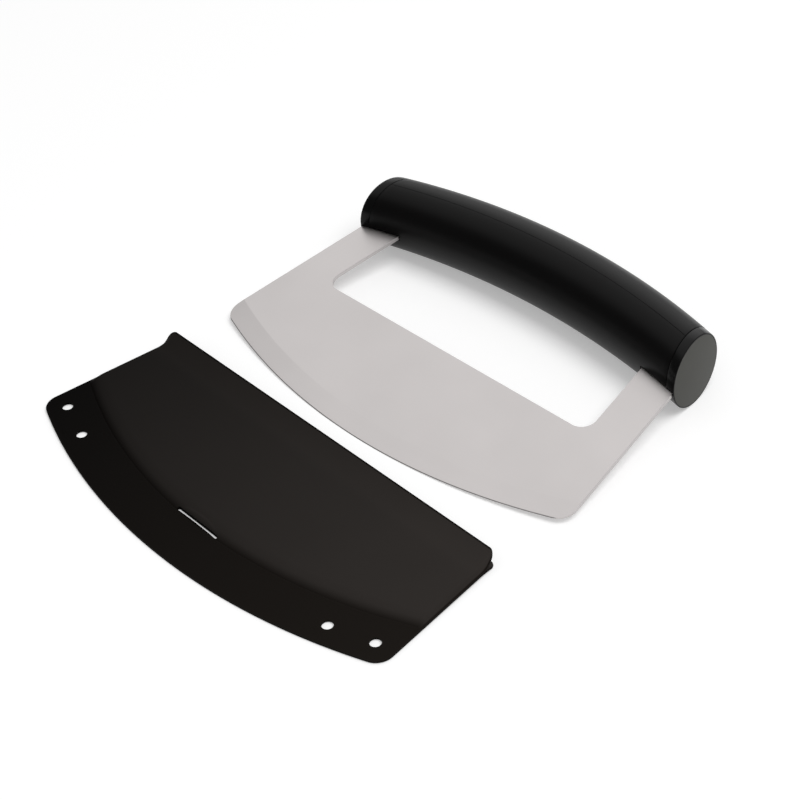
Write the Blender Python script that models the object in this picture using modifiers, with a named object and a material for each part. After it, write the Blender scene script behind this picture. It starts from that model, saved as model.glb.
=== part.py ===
"""Mezzaluna: a rocking chopper with one curved blade and one arched handle, and its slip-on guard.

The knife lies on its side, as it does on a table: it rests on the middle of its cutting edge and on
the two ends of its handle. The guard lies flat in front of the edge, just pulled off.

Two empties carry the pieces. In the knife's frame X runs along the blade, Y from the cutting edge to
the handle and Z out of the blade's face. In the guard's frame X runs along the mouth, Y out of the
mouth towards the blade and Z out of the upper leaf.
"""
import math

import bmesh
import bpy
from mathutils import Matrix, Vector

MM = 0.001

# Clearance between two pieces that touch, and how far a cutter overshoots what it cuts
FIT_GAP = 0.3 * MM
OVERSHOOT = 1.0 * MM

# Blade
BLADE_THICKNESS = 1.8 * MM
EDGE_RADIUS = 290.0 * MM
SIDE_HALF_WIDTH = 104.1 * MM
SIDE_LEAN = math.radians(7.9)
CORNER_RADIUS = 8.0 * MM
BEVEL_HEIGHT = 9.6 * MM
HONED_HEIGHT = 0.6 * MM
HONED_THICKNESS = 0.4 * MM
EDGE_THICKNESS = 0.1 * MM
WINDOW_SILL = 57.0 * MM
WINDOW_CORNER_RADIUS = 6.5 * MM
ARM_WIDTH = 19.0 * MM

# Tangs: the ends of the arms, inside the handle
ARM_SEAT = 0.2 * MM
ARM_END_GAP = 0.15 * MM
TANG_STEP = 4.0 * MM
TANG_ABOVE_AXIS = 6.0 * MM
TANG_CORNER = 2.0 * MM
PIN_DIAMETER = 3.0 * MM
PIN_LENGTH = 22.0 * MM
PIN_EDGE_DISTANCE = 3.9 * MM

# Handle: round sections along an arched axis
ARCH_RADIUS = 374.0 * MM
ARCH_HEIGHT = 120.2 * MM
END_OVERHANG = 1.05 * MM
MIDDLE_RADIUS = 16.5 * MM
END_RADIUS = 16.2 * MM
END_LEAN = math.radians(6.8)
SHELL_WALL = 2.8 * MM
SHELL_EDGE_CHAMFER = 0.25 * MM
RIB_THICKNESS = 2.5 * MM
RIB_SPACING = 15.5 * MM
PEG_DIAMETER = 4.0 * MM
PEG_LENGTH = 5.0 * MM
PEG_BOSS_DIAMETER = 8.5 * MM
PEG_PITCH = 42.0 * MM
PEG_PAIRS = 3

# End caps
CAP_WIDTH = 4.8 * MM
CAP_WALL = 1.4 * MM
CAP_FRONT = 2.0 * MM
CAP_RIM = 0.5 * MM
CAP_ROUNDING = 0.3 * MM
DISC_THICKNESS = 0.5 * MM
DISC_GAP = 0.15 * MM

# Guard
LEAF_WALL = 0.45 * MM
MOUTH_OVERHANG = 5.1 * MM
GUARD_SIDE_LEAN = math.radians(6.65)
GUARD_DEPTH = 85.8 * MM
RIM_RADIUS = 281.0 * MM
GUARD_CORNER_RADIUS = 7.6 * MM
MOUTH_CORNER_RADIUS = 3.4 * MM
POCKET_DEPTH = 66.0 * MM
POCKET_RADIUS = 245.5 * MM
POCKET_SHOULDER = 7.5 * MM
SIDE_RUN = 2.5 * MM
SEAM_END = 6.0 * MM
GUARD_CLEARANCE = 0.13 * MM
FLARE_LENGTH = 7.5 * MM
UPPER_FLARE = 3.5 * MM
LOWER_FLARE = 1.1 * MM
FLARE_POWER = 1.6
DRAIN_SLOT_LENGTH = 24.6 * MM
DRAIN_SLOT_WIDTH = 1.8 * MM
DRAIN_SLOT_INSET = 1.1 * MM
TIE_HOLE_DIAMETER = 4.7 * MM
TIE_HOLE_INSET = 9.5 * MM
TIE_HOLE_PLACES = (78.4 * MM, 97.7 * MM)

# Where the guard lies, seen from above
GUARD_PLACE = (-3.95 * MM, -12.3 * MM)
GUARD_TURN = math.radians(-1.67)

# Facets
RING_FACETS = 48
HANDLE_SPANS = 20
EDGE_STEPS = 28
FILLET_STEPS = 6
WHEEL_FACETS = 360
PIN_FACETS = 20
LEAF_COLUMNS = 21
SIDE_COLUMNS = 5

# Colours as linear red, green, blue
STEEL = (0.56, 0.55, 0.54)
HANDLE_BLACK = (0.010, 0.009, 0.009)
CAP_BLACK = (0.012, 0.012, 0.012)
DISC_BLACK = (0.045, 0.045, 0.043)
GUARD_BLACK = (0.018, 0.016, 0.014)


def clear_scene():
    """Remove every object that the file opened with."""
    for item in list(bpy.data.objects):
        bpy.data.objects.remove(item)


def new_collection(name):
    """Make a collection in the scene."""
    collection = bpy.data.collections.new(name)
    bpy.context.scene.collection.children.link(collection)
    return collection


def new_material(name, colour, roughness, metallic=0.0):
    """Make a material from one Principled BSDF."""
    material = bpy.data.materials.new(name)
    material.use_nodes = True
    shader = material.node_tree.nodes["Principled BSDF"]
    shader.inputs["Base Color"].default_value = (*colour, 1.0)
    shader.inputs["Roughness"].default_value = roughness
    shader.inputs["Metallic"].default_value = metallic
    return material


def new_object(name, mesh, frame, collection):
    """Put a mesh in a collection, in the frame of an empty."""
    item = bpy.data.objects.new(name, mesh)
    item.parent = frame
    collection.objects.link(item)
    return item


def from_bmesh(name, shape, frame, collection):
    """Turn a finished bmesh into an object with its faces pointing out."""
    bmesh.ops.recalc_face_normals(shape, faces=shape.faces)
    mesh = bpy.data.meshes.new(name)
    shape.to_mesh(mesh)
    shape.free()
    return new_object(name, mesh, frame, collection)


def change(target, tool, operation):
    """Join, cut or intersect one object with another and keep the tool as a wire guide."""
    modifier = target.modifiers.new(f"{operation.lower()} {tool.name}", "BOOLEAN")
    modifier.operation = operation
    modifier.object = tool
    tool.hide_render = True
    tool.display_type = "WIRE"


def finish(item, material):
    """Give a piece its material and smooth shading with sharp corners kept."""
    item.data.materials.append(material)
    item.data.shade_smooth()
    item.data.set_sharp_from_angle(angle=math.radians(30))
    return item


def box(name, low, high, frame, collection):
    """Make a box from two opposite corners."""
    shape = bmesh.new()
    low, high = Vector(low), Vector(high)
    place = Matrix.Translation((low + high) / 2) @ Matrix.Diagonal((*(high - low), 1.0))
    bmesh.ops.create_cube(shape, size=1.0, matrix=place)
    return from_bmesh(name, shape, frame, collection)


def rod(name, centre, direction, diameter, length, facets, frame, collection):
    """Make a round rod along a direction, centred on a point."""
    shape = bmesh.new()
    turn = Vector((0, 0, 1)).rotation_difference(Vector(direction)).to_matrix().to_4x4()
    bmesh.ops.create_cone(
        shape, cap_ends=True, segments=facets, radius1=diameter / 2, radius2=diameter / 2,
        depth=length, matrix=Matrix.Translation(centre) @ turn)
    return from_bmesh(name, shape, frame, collection)


def ringed(name, rings, facets, frame, collection, closed=False):
    """Sweep a circle through a row of rings, each given as a matrix and a radius.

    A closed sweep runs round from the last ring to the first, as a tube's wall does. Otherwise the
    first and the last ring are capped.
    """
    shape = bmesh.new()
    start, radius = rings[0]
    verts = bmesh.ops.create_circle(shape, segments=facets, radius=radius, matrix=start)["verts"]
    edges = list(shape.edges)
    if not closed:
        bmesh.ops.contextual_create(shape, geom=edges)
    previous = start @ Matrix.Scale(radius, 4)
    for place, radius in rings[1:] + rings[:1] * closed:
        swept = bmesh.ops.extrude_edge_only(shape, edges=edges)["geom"]
        verts = [item for item in swept if isinstance(item, bmesh.types.BMVert)]
        edges = [item for item in swept if isinstance(item, bmesh.types.BMEdge)]
        step = place @ Matrix.Scale(radius, 4)
        bmesh.ops.transform(shape, matrix=step @ previous.inverted(), verts=verts)
        previous = step
    if closed:
        bmesh.ops.remove_doubles(shape, verts=shape.verts, dist=0.01 * MM)
    else:
        bmesh.ops.contextual_create(shape, geom=edges)
    return from_bmesh(name, shape, frame, collection)


def plate(name, outline, thickness, frame, collection):
    """Make a flat plate, centred on Z, from a closed outline of (x, y) points."""
    curve = bpy.data.curves.new(name, "CURVE")
    curve.dimensions = "2D"
    curve.fill_mode = "BOTH"
    curve.extrude = thickness / 2
    spline = curve.splines.new("POLY")
    spline.points.add(len(outline) - 1)
    for point, (x, y) in zip(spline.points, outline):
        point.co = (x, y, 0.0, 1.0)
    spline.use_cyclic_u = True
    guide = bpy.data.objects.new(name + " outline", curve)
    collection.objects.link(guide)
    bpy.context.view_layer.update()
    evaluated = guide.evaluated_get(bpy.context.evaluated_depsgraph_get())
    flat = bpy.data.meshes.new_from_object(evaluated)
    bpy.data.objects.remove(guide)
    shape = bmesh.new()
    shape.from_mesh(flat)
    bpy.data.meshes.remove(flat)
    bmesh.ops.remove_doubles(shape, verts=shape.verts, dist=0.001 * MM)
    return from_bmesh(name, shape, frame, collection)


def arc(centre, radius, start, end, steps):
    """Points on an arc from one angle to another, both ends included."""
    angles = [start + (end - start) * step / steps for step in range(steps + 1)]
    return [(centre[0] + radius * math.cos(a), centre[1] + radius * math.sin(a)) for a in angles]


def mirrored(right_half):
    """Close an outline by adding the mirror image of its right half."""
    return right_half + [(-x, y) for x, y in reversed(right_half) if x > OVERSHOOT]


def blade_side(y):
    """Distance of the blade's side edge from its middle, at a height above the cutting edge."""
    return SIDE_HALF_WIDTH - y * math.tan(SIDE_LEAN)


def curved_corner(arc_bottom, arc_radius, half_width, lean, radius):
    """Centre of the fillet where a convex lower arc meets a leaning side.

    The arc's lowest point is on the middle line at arc_bottom. The side is half_width from the
    middle line at Y 0 and comes in by the lean as Y rises.
    """
    arc_centre_y = arc_bottom + arc_radius
    across = half_width * math.cos(lean) - radius
    offset = across - arc_centre_y * math.sin(lean)
    along = arc_centre_y * math.cos(lean) - math.sqrt((arc_radius - radius) ** 2 - offset ** 2)
    return (across * math.cos(lean) - along * math.sin(lean),
            across * math.sin(lean) + along * math.cos(lean))


def rounded_bottom(arc_bottom, arc_radius, half_width, lean, radius):
    """Right half of a convex bottom edge with its corner fillet, from the middle to the side."""
    centre = curved_corner(arc_bottom, arc_radius, half_width, lean, radius)
    arc_centre = (0.0, arc_bottom + arc_radius)
    meeting = math.atan2(centre[1] - arc_centre[1], centre[0] - arc_centre[0])
    bottom = arc(arc_centre, arc_radius, -math.pi / 2, meeting, EDGE_STEPS)
    return bottom + arc(centre, radius, meeting, lean, FILLET_STEPS)[1:]


def axis_height(x):
    """Height of the handle's axis above the cutting edge, at a place along the blade."""
    return ARCH_HEIGHT - ARCH_RADIUS + math.sqrt(ARCH_RADIUS ** 2 - x ** 2)


def half_length():
    """Half the handle's length: its end faces stand a little outside the blade's sides."""
    x = SIDE_HALF_WIDTH
    for _ in range(8):
        x = blade_side(axis_height(x)) + END_OVERHANG
    return x


def section_lean(x):
    """Lean of the handle's round section, which fans out evenly to that of the end faces."""
    return END_LEAN * x / half_length()


def section_radius(x):
    """Radius of the handle, a little slimmer towards its ends."""
    return MIDDLE_RADIUS - (MIDDLE_RADIUS - END_RADIUS) * (x / half_length()) ** 2


def section(x, inset):
    """One ring of the handle: its matrix and its radius, set in from the handle's surface."""
    lean = section_lean(x)
    up = Vector((-math.sin(lean), math.cos(lean), 0.0))
    out = Vector((0.0, 0.0, 1.0))
    place = Matrix((up, out, up.cross(out))).transposed().to_4x4()
    place.translation = (x, axis_height(x), 0.0)
    return place, section_radius(x) - inset


def along_handle(name, profile, frame, collection, closed=False):
    """Turn a profile of (x, inset) points about the handle's arched axis."""
    rings = [section(x, inset) for x, inset in profile]
    return ringed(name, rings, RING_FACETS, frame, collection, closed)


def barrel_end():
    """Where the shells' full diameter stops and the end cap begins."""
    return half_length() - CAP_WIDTH


def neck_end():
    """Where the shells' necks stop inside the caps."""
    return half_length() - CAP_FRONT - FIT_GAP


def spread(low, high, spans):
    """Evenly spaced places from low to high."""
    return [low + (high - low) * step / spans for step in range(spans + 1)]


def tang_outer(y):
    """Outer edge of a tang inside the handle."""
    return blade_side(y) - TANG_STEP


def tang_inner(y):
    """Inner edge of an arm and of its tang."""
    return blade_side(y) - ARM_WIDTH


def underside(x):
    """Height of the handle's underside in the blade's plane, at a place along the blade."""
    along = x
    for _ in range(4):
        along = x - section_radius(along) * math.sin(section_lean(along))
    return axis_height(along) - section_radius(along) * math.cos(section_lean(along))


def shoulder():
    """Outer and inner point of the right arm's shoulder, which is sunk in the end cap."""
    outer = blade_side(underside(half_length()))
    inner = outer - TANG_STEP
    high, higher = (underside(x) + ARM_SEAT for x in (outer, inner))
    return (blade_side(high), high), (tang_outer(higher), higher)


def tang_top():
    """Height of the tangs' ends."""
    return axis_height(tang_outer(ARCH_HEIGHT)) + TANG_ABOVE_AXIS


def pin_places():
    """Places of the two pins of the right tang, on the handle's axis."""
    level = axis_height(tang_outer(ARCH_HEIGHT))
    inner = tang_inner(level) + PIN_EDGE_DISTANCE
    outer = tang_outer(level) - PIN_EDGE_DISTANCE
    return [(x, axis_height(x)) for x in (inner, outer)]


def blade_outline():
    """Outline of the sheet: cutting edge, sides, tangs and the window between the arms."""
    bottom = rounded_bottom(0.0, EDGE_RADIUS, SIDE_HALF_WIDTH, SIDE_LEAN, CORNER_RADIUS)
    top = tang_top()
    tang = [
        *shoulder(),
        (tang_outer(top - TANG_CORNER), top - TANG_CORNER),
        (tang_outer(top) - TANG_CORNER, top),
        (tang_inner(top) + TANG_CORNER, top),
        (tang_inner(top - TANG_CORNER), top - TANG_CORNER),
    ]
    corner_y = WINDOW_SILL + WINDOW_CORNER_RADIUS
    corner = (tang_inner(corner_y) - WINDOW_CORNER_RADIUS / math.cos(SIDE_LEAN), corner_y)
    window = arc(corner, WINDOW_CORNER_RADIUS, SIDE_LEAN, -math.pi / 2, FILLET_STEPS)
    return mirrored(bottom + tang + window)


def grinding_wheel(frame, cutters):
    """The double cone that the bevels lie on, a little larger than the cutting edge."""
    half = BLADE_THICKNESS / 2
    run = (BEVEL_HEIGHT - HONED_HEIGHT) / (half - HONED_THICKNESS / 2)
    rim = EDGE_RADIUS + 0.05 * MM
    upper = [
        (EDGE_THICKNESS / 2, rim),
        (HONED_THICKNESS / 2, rim - HONED_HEIGHT),
        (half + OVERSHOOT, rim - BEVEL_HEIGHT - run * OVERSHOOT),
    ]
    profile = [(-z, radius) for z, radius in reversed(upper)] + upper
    rings = [(Matrix.Translation((0.0, EDGE_RADIUS, z)), radius) for z, radius in profile]
    return ringed("grinding wheel", rings, WHEEL_FACETS, frame, cutters)


def build_blade(frame, parts, cutters):
    """The sheet steel blade, bevelled on both faces, with pin holes in its tangs."""
    blade = plate("blade", blade_outline(), BLADE_THICKNESS, frame, parts)
    change(blade, grinding_wheel(frame, cutters), "INTERSECT")
    hole = PIN_DIAMETER + 2 * FIT_GAP
    for side in (-1, 1):
        for number, (x, y) in enumerate(pin_places()):
            drill = rod(f"tang drill {side} {number}", (side * x, y, 0.0), (0, 0, 1), hole,
                        BLADE_THICKNESS + 2 * OVERSHOOT, PIN_FACETS, frame, cutters)
            change(blade, drill, "DIFFERENCE")
    return finish(blade, new_material("brushed steel", STEEL, 0.3, 1.0))


def build_pins(frame, parts):
    """Four steel cross pins through the tangs."""
    steel = new_material("pin steel", STEEL, 0.35, 1.0)
    for side, side_name in ((-1, "left"), (1, "right")):
        for (x, y), place_name in zip(pin_places(), ("inner", "outer")):
            pin = rod(f"{side_name}_{place_name}_tang_pin", (side * x, y, 0.0), (0, 0, 1),
                      PIN_DIAMETER, PIN_LENGTH, PIN_FACETS, frame, parts)
            finish(pin, steel)


def shell_profile():
    """Closed wall profile of the handle: barrel, a neck at each end and the bore."""
    end = barrel_end()
    neck = neck_end()
    neck_inset = CAP_WALL + FIT_GAP
    right = [
        (end, SHELL_EDGE_CHAMFER),
        (end, neck_inset),
        (neck, neck_inset),
        (neck, SHELL_WALL),
    ]
    left = [(-x, inset) for x, inset in reversed(right)]
    barrel = spread(SHELL_EDGE_CHAMFER - end, end - SHELL_EDGE_CHAMFER, HANDLE_SPANS)
    bore = spread(neck, -neck, HANDLE_SPANS)[1:-1]
    return left + [(x, 0.0) for x in barrel] + right + [(x, SHELL_WALL) for x in bore]


def inner_body(name, shape, frame, cutters):
    """Trim a rib or boss so that it ends halfway into the wall of the handle."""
    reach = neck_end()
    profile = [(x, SHELL_WALL / 2) for x in spread(-reach, reach, HANDLE_SPANS)]
    room = along_handle(f"room for {name}", profile, frame, cutters)
    change(shape, room, "INTERSECT")
    room.hide_render = True
    return shape


def parting_wheel(name, radius, frame, cutters):
    """A wheel about the arch's centre, whose rim is the parting face of the shells."""
    centre = (0.0, ARCH_HEIGHT - ARCH_RADIUS, 0.0)
    return rod(name, centre, (0, 0, 1), 2 * radius, 3 * MIDDLE_RADIUS, WHEEL_FACETS, frame, cutters)


def peg_places():
    """Places of the locating pegs along the handle."""
    middle = (PEG_PAIRS - 1) / 2
    return [(number - middle) * PEG_PITCH for number in range(PEG_PAIRS)]


def build_shell(name, half, frame, parts, cutters, material):
    """One half of the handle with its ribs, saddles and pegs or sockets.

    The palm half lies outside the parting face and has pegs. The blade half lies inside it and has
    sockets and the slots for the arms.
    """
    palm = half == "palm"
    shell = along_handle(name, shell_profile(), frame, parts, closed=True)
    tallest = MIDDLE_RADIUS
    for side in (-1, 1):
        level = axis_height(tang_outer(ARCH_HEIGHT))
        ends = sorted((side * tang_inner(level), side * tang_outer(level)))
        for face in (-1, 1):
            middle = face * RIB_SPACING / 2
            rib = box(f"{half} rib {side} {face}",
                      (ends[0], level - tallest, middle - RIB_THICKNESS / 2),
                      (ends[1], level + tallest, middle + RIB_THICKNESS / 2), frame, cutters)
            change(shell, inner_body(rib.name, rib, frame, cutters), "UNION")
    for number, x in enumerate(peg_places()):
        boss = rod(f"{half} boss {number}", (x, axis_height(x), 0.0), (0, 1, 0),
                   PEG_BOSS_DIAMETER, 2 * tallest, PIN_FACETS, frame, cutters)
        change(shell, inner_body(boss.name, boss, frame, cutters), "UNION")
    if palm:
        wheel = parting_wheel("palm parting wheel", ARCH_RADIUS + FIT_GAP / 2, frame, cutters)
        change(shell, wheel, "DIFFERENCE")
    else:
        wheel = parting_wheel("blade parting wheel", ARCH_RADIUS - FIT_GAP / 2, frame, cutters)
        change(shell, wheel, "INTERSECT")
    saddle = PIN_DIAMETER + 2 * FIT_GAP
    for side in (-1, 1):
        for number, (x, y) in enumerate(pin_places()):
            reamer = rod(f"{half} saddle {side} {number}", (side * x, y, 0.0), (0, 0, 1), saddle,
                         PIN_LENGTH + 2 * FIT_GAP, PIN_FACETS, frame, cutters)
            change(shell, reamer, "DIFFERENCE")
    for number, x in enumerate(peg_places()):
        top = axis_height(x)
        if palm:
            peg = rod(f"peg {number}", (x, top - PEG_LENGTH / 2 + OVERSHOOT, 0.0), (0, 1, 0),
                      PEG_DIAMETER, PEG_LENGTH + 2 * OVERSHOOT, PIN_FACETS, frame, cutters)
            change(shell, peg, "UNION")
        else:
            depth = PEG_LENGTH + 2 * OVERSHOOT + FIT_GAP
            socket = rod(f"socket {number}", (x, top + OVERSHOOT - depth / 2, 0.0), (0, 1, 0),
                         PEG_DIAMETER + 2 * FIT_GAP, depth, PIN_FACETS, frame, cutters)
            change(shell, socket, "DIFFERENCE")
    if not palm:
        for side in (-1, 1):
            slot = arm_slot(f"shell slot {side}", side, frame, cutters)
            change(shell, slot, "DIFFERENCE")
    return finish(shell, material)


def arm_slot(name, side, frame, cutters):
    """The slot that an arm passes through, open towards the end of the handle."""
    half = BLADE_THICKNESS / 2 + FIT_GAP
    low = axis_height(half_length()) - END_RADIUS - 3 * OVERSHOOT
    high = axis_height(tang_inner(ARCH_HEIGHT)) - MIDDLE_RADIUS + SHELL_WALL + 2 * OVERSHOOT
    inner = side * (tang_inner(high) - FIT_GAP)
    outer = side * (blade_side(low) + FIT_GAP)
    ends = sorted((inner, outer))
    return box(name, (ends[0], low, -half), (ends[1], high, half), frame, cutters)


def cap_notch(name, side, frame, cutters):
    """The notch in an end cap that the arm's outer corner sits in."""
    outer, inner = shoulder()
    low = underside(half_length()) - 3 * OVERSHOOT
    away = inner[0] - 2 * OVERSHOOT
    outline = [
        (side * away, low),
        (side * (blade_side(low) + ARM_END_GAP), low),
        (side * (outer[0] + ARM_END_GAP), outer[1] + ARM_END_GAP),
        (side * inner[0], inner[1] + ARM_END_GAP),
        (side * away, underside(away) + ARM_SEAT + ARM_END_GAP),
    ]
    return plate(name, outline, BLADE_THICKNESS + 2 * FIT_GAP, frame, cutters)


def build_end(side, side_name, frame, parts, cutters, cap_material, disc_material):
    """An end cap, which grips the necks of both shells, and the disc inlaid in its face."""
    face = half_length()
    edge = barrel_end() + FIT_GAP
    cap_profile = [
        (face - DISC_THICKNESS - DISC_GAP, CAP_RIM),
        (face, CAP_RIM),
        (face, CAP_ROUNDING),
        (face - 0.3 * CAP_ROUNDING, 0.3 * CAP_ROUNDING),
        (face - CAP_ROUNDING, 0.0),
        (edge + SHELL_EDGE_CHAMFER, 0.0),
        (edge, SHELL_EDGE_CHAMFER),
        (edge, CAP_WALL),
        (face - CAP_FRONT, CAP_WALL),
    ]
    cap = along_handle(f"{side_name}_end_cap", [(side * x, inset) for x, inset in cap_profile],
                       frame, parts)
    change(cap, cap_notch(f"cap notch {side}", side, frame, cutters), "DIFFERENCE")
    finish(cap, cap_material)
    disc_profile = [
        (face - DISC_THICKNESS, CAP_RIM + DISC_GAP),
        (face, CAP_RIM + DISC_GAP),
    ]
    disc = along_handle(f"{side_name}_end_disc", [(side * x, inset) for x, inset in disc_profile],
                        frame, parts)
    finish(disc, disc_material)


def rim_line(x):
    """The guard's curved outer rim."""
    return RIM_RADIUS - GUARD_DEPTH - math.sqrt(RIM_RADIUS ** 2 - x ** 2)


def mouth_half_width():
    """Half the guard's width at its mouth, past the blade's sides when it is fully on."""
    return blade_side(POCKET_DEPTH) + MOUTH_OVERHANG


def pocket_line(x):
    """The line where the pocket ends and the flat rim band begins."""
    return POCKET_RADIUS - POCKET_DEPTH - math.sqrt(POCKET_RADIUS ** 2 - x ** 2)


def pocket_rise():
    """How far the upper leaf rises from the rim band, so that the blade fits between the leaves."""
    return BLADE_THICKNESS + 2 * GUARD_CLEARANCE - FIT_GAP


def side_line(y):
    """Distance of the guard's side edge from its middle."""
    return mouth_half_width() - y * math.tan(GUARD_SIDE_LEAN)


def ease(t):
    """A smooth rise from 0 to 1 while t goes from 0 to 1."""
    return (1 - math.cos(math.pi * min(max(t, 0.0), 1.0))) / 2


def raised(x, y):
    """Share of the pocket's rise: 0 along the seam of the sides, 1 in the pocket and the mouth."""
    wall = ease((side_line(y) - abs(x)) / SIDE_RUN)
    mouth = ease(1 + y / SEAM_END)
    return wall + mouth - wall * mouth


def leaf_rows(x, flare):
    """Rows of a leaf along one column, from the mouth to beyond the rim: (y, pocket, lip)."""
    line = pocket_line(x)
    foot = line + POCKET_SHOULDER
    rows = []
    for t in spread(-OVERSHOOT / FLARE_LENGTH, 1.0, 6):
        rows.append((-FLARE_LENGTH * t, 1.0, flare * (1 - t) ** FLARE_POWER))
    for t in spread(0.0, 1.0, 3)[1:]:
        rows.append((-FLARE_LENGTH + (foot + FLARE_LENGTH) * t, 1.0, 0.0))
    for t in spread(0.0, 1.0, 5)[1:]:
        rows.append((foot - POCKET_SHOULDER * t, 1 - t ** 2, 0.0))
    for t in spread(0.0, 1.0, 2)[1:]:
        rows.append((line + (rim_line(x) - 2 * OVERSHOOT - line) * t, 0.0, 0.0))
    return rows


def leaf_columns():
    """Columns of a leaf: (share of the pocket's half width, distance out from the pocket)."""
    sides = spread(0.0, SIDE_RUN, SIDE_COLUMNS)[1:] + [SIDE_RUN + OVERSHOOT]
    pocket = [(share, 0.0) for share in spread(-1.0, 1.0, LEAF_COLUMNS)]
    return [(-1.0, -out) for out in reversed(sides)] + pocket + [(1.0, out) for out in sides]


def leaf_point(column, row, rise, flare):
    """One point of a leaf's inner face, seen with the leaf's outside up."""
    share, out = column
    y = -GUARD_DEPTH / 2
    for _ in range(4):
        x = share * (side_line(y) - SIDE_RUN) + out
        y, pocket, lip = leaf_rows(x, flare)[row]
    return x, y, FIT_GAP / 2 + rise * pocket * raised(x, y) + lip


def guard_outline():
    """Outline of the guard: curved rim, leaning sides and a straight mouth."""
    bottom = rounded_bottom(-GUARD_DEPTH, RIM_RADIUS, mouth_half_width(), GUARD_SIDE_LEAN,
                            GUARD_CORNER_RADIUS)
    lean = GUARD_SIDE_LEAN
    y = -MOUTH_CORNER_RADIUS
    x = mouth_half_width() - y * math.tan(lean) - MOUTH_CORNER_RADIUS / math.cos(lean)
    mouth = arc((x, y), MOUTH_CORNER_RADIUS, lean, math.pi / 2, FILLET_STEPS)
    return mirrored(bottom + mouth)


def build_leaf(name, side, rise, flare, frame, parts, cutters, material):
    """One leaf of the guard: a pressed sheet, trimmed to the outline and punched."""
    columns = leaf_columns()
    rows = len(leaf_rows(0.0, flare)) - 1
    shape = bmesh.new()
    bmesh.ops.create_grid(shape, x_segments=len(columns) - 1, y_segments=rows, size=0.5)
    for vert in shape.verts:
        column = columns[round((0.5 + vert.co.x) * (len(columns) - 1))]
        x, y, z = leaf_point(column, round((0.5 - vert.co.y) * rows), rise, flare)
        vert.co = (x, y, side * z)
    if side < 0:
        bmesh.ops.reverse_faces(shape, faces=shape.faces)
    mesh = bpy.data.meshes.new(name)
    shape.to_mesh(mesh)
    shape.free()
    leaf = new_object(name, mesh, frame, parts)
    wall = leaf.modifiers.new("wall", "SOLIDIFY")
    wall.thickness = LEAF_WALL
    wall.offset = 1.0
    tool_height = 4 * (rise + flare + LEAF_WALL)
    trim = plate(f"trim {name}", guard_outline(), tool_height, frame, cutters)
    change(leaf, trim, "INTERSECT")
    for number, x in enumerate(TIE_HOLE_PLACES):
        for mirror in (-1, 1):
            y = rim_line(x) + TIE_HOLE_INSET
            punch = rod(f"punch {name} {mirror} {number}", (mirror * x, y, 0.0), (0, 0, 1),
                        TIE_HOLE_DIAMETER, tool_height, PIN_FACETS, frame, cutters)
            change(leaf, punch, "DIFFERENCE")
    slot_end = Vector((DRAIN_SLOT_LENGTH, DRAIN_SLOT_WIDTH, tool_height)) / 2
    slot_middle = Vector((0.0, DRAIN_SLOT_INSET - POCKET_DEPTH, 0.0))
    slot = box(f"slot {name}", slot_middle - slot_end, slot_middle + slot_end, frame, cutters)
    change(leaf, slot, "DIFFERENCE")
    return finish(leaf, material)


def place_knife(frame):
    """Tilt the knife about its cutting edge until the handle's ends touch the floor."""
    frame.rotation_euler.x = math.asin(END_RADIUS / axis_height(half_length()))


def place_guard(frame):
    """Lay the guard down so that its lower lip and its rim touch the floor."""
    frame.rotation_euler = (math.atan2(LOWER_FLARE, GUARD_DEPTH), 0.0, GUARD_TURN)
    frame.location = (*GUARD_PLACE, FIT_GAP / 2 + LEAF_WALL + LOWER_FLARE)


def world_box(items):
    """Smallest and largest coordinates of the finished pieces."""
    graph = bpy.context.evaluated_depsgraph_get()
    points = []
    for item in items:
        mesh = item.evaluated_get(graph).to_mesh()
        points += [item.matrix_world @ vert.co for vert in mesh.vertices]
    low = Vector(min(point[axis] for point in points) for axis in range(3))
    high = Vector(max(point[axis] for point in points) for axis in range(3))
    return low, high


def centre_on_floor(frames, items):
    """Move everything so that the origin is under the middle of the set, on the floor."""
    bpy.context.view_layer.update()
    low, high = world_box(items)
    shift = Vector(((low.x + high.x) / 2, (low.y + high.y) / 2, low.z))
    for frame in frames:
        frame.location -= shift
    bpy.context.view_layer.update()


def main():
    clear_scene()
    parts = new_collection("mezzaluna")
    cutters = new_collection("cutters")
    knife_frame = bpy.data.objects.new("knife frame", None)
    guard_frame = bpy.data.objects.new("guard frame", None)
    for frame in (knife_frame, guard_frame):
        parts.objects.link(frame)
    place_knife(knife_frame)
    place_guard(guard_frame)

    build_blade(knife_frame, parts, cutters)
    build_pins(knife_frame, parts)
    handle_black = new_material("satin black plastic", HANDLE_BLACK, 0.42)
    build_shell("handle_palm_shell", "palm", knife_frame, parts, cutters, handle_black)
    build_shell("handle_blade_shell", "blade", knife_frame, parts, cutters, handle_black)
    cap_black = new_material("glossy black plastic", CAP_BLACK, 0.15)
    disc_black = new_material("matt black plastic", DISC_BLACK, 0.6)
    for side, side_name in ((-1, "left"), (1, "right")):
        build_end(side, side_name, knife_frame, parts, cutters, cap_black, disc_black)
    guard_black = new_material("guard plastic", GUARD_BLACK, 0.45)
    for name, side, rise, flare in (
            ("upper", 1, pocket_rise(), UPPER_FLARE), ("lower", -1, 0.0, LOWER_FLARE)):
        build_leaf(f"guard_{name}_leaf", side, rise, flare, guard_frame, parts, cutters,
                   guard_black)

    pieces = [item for item in parts.objects if item.type == "MESH"]
    centre_on_floor((knife_frame, guard_frame), pieces)


main()
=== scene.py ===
"""A mezzaluna on a table: a rocking chopper with an arched handle, and its slip-on guard.

Both are modelled in frames of their own and laid on the floor at the end. In the knife's frame X
runs along the blade, Y from the cutting edge to the handle and Z out of the blade's face. In the
guard's frame X runs along the mouth, Y out of it and Z out of the upper leaf.
"""
from __future__ import annotations

import logging
import math
from contextlib import contextmanager
from dataclasses import dataclass
from enum import Enum
from functools import cache
from itertools import pairwise
from typing import Callable, Iterator, Sequence

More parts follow.
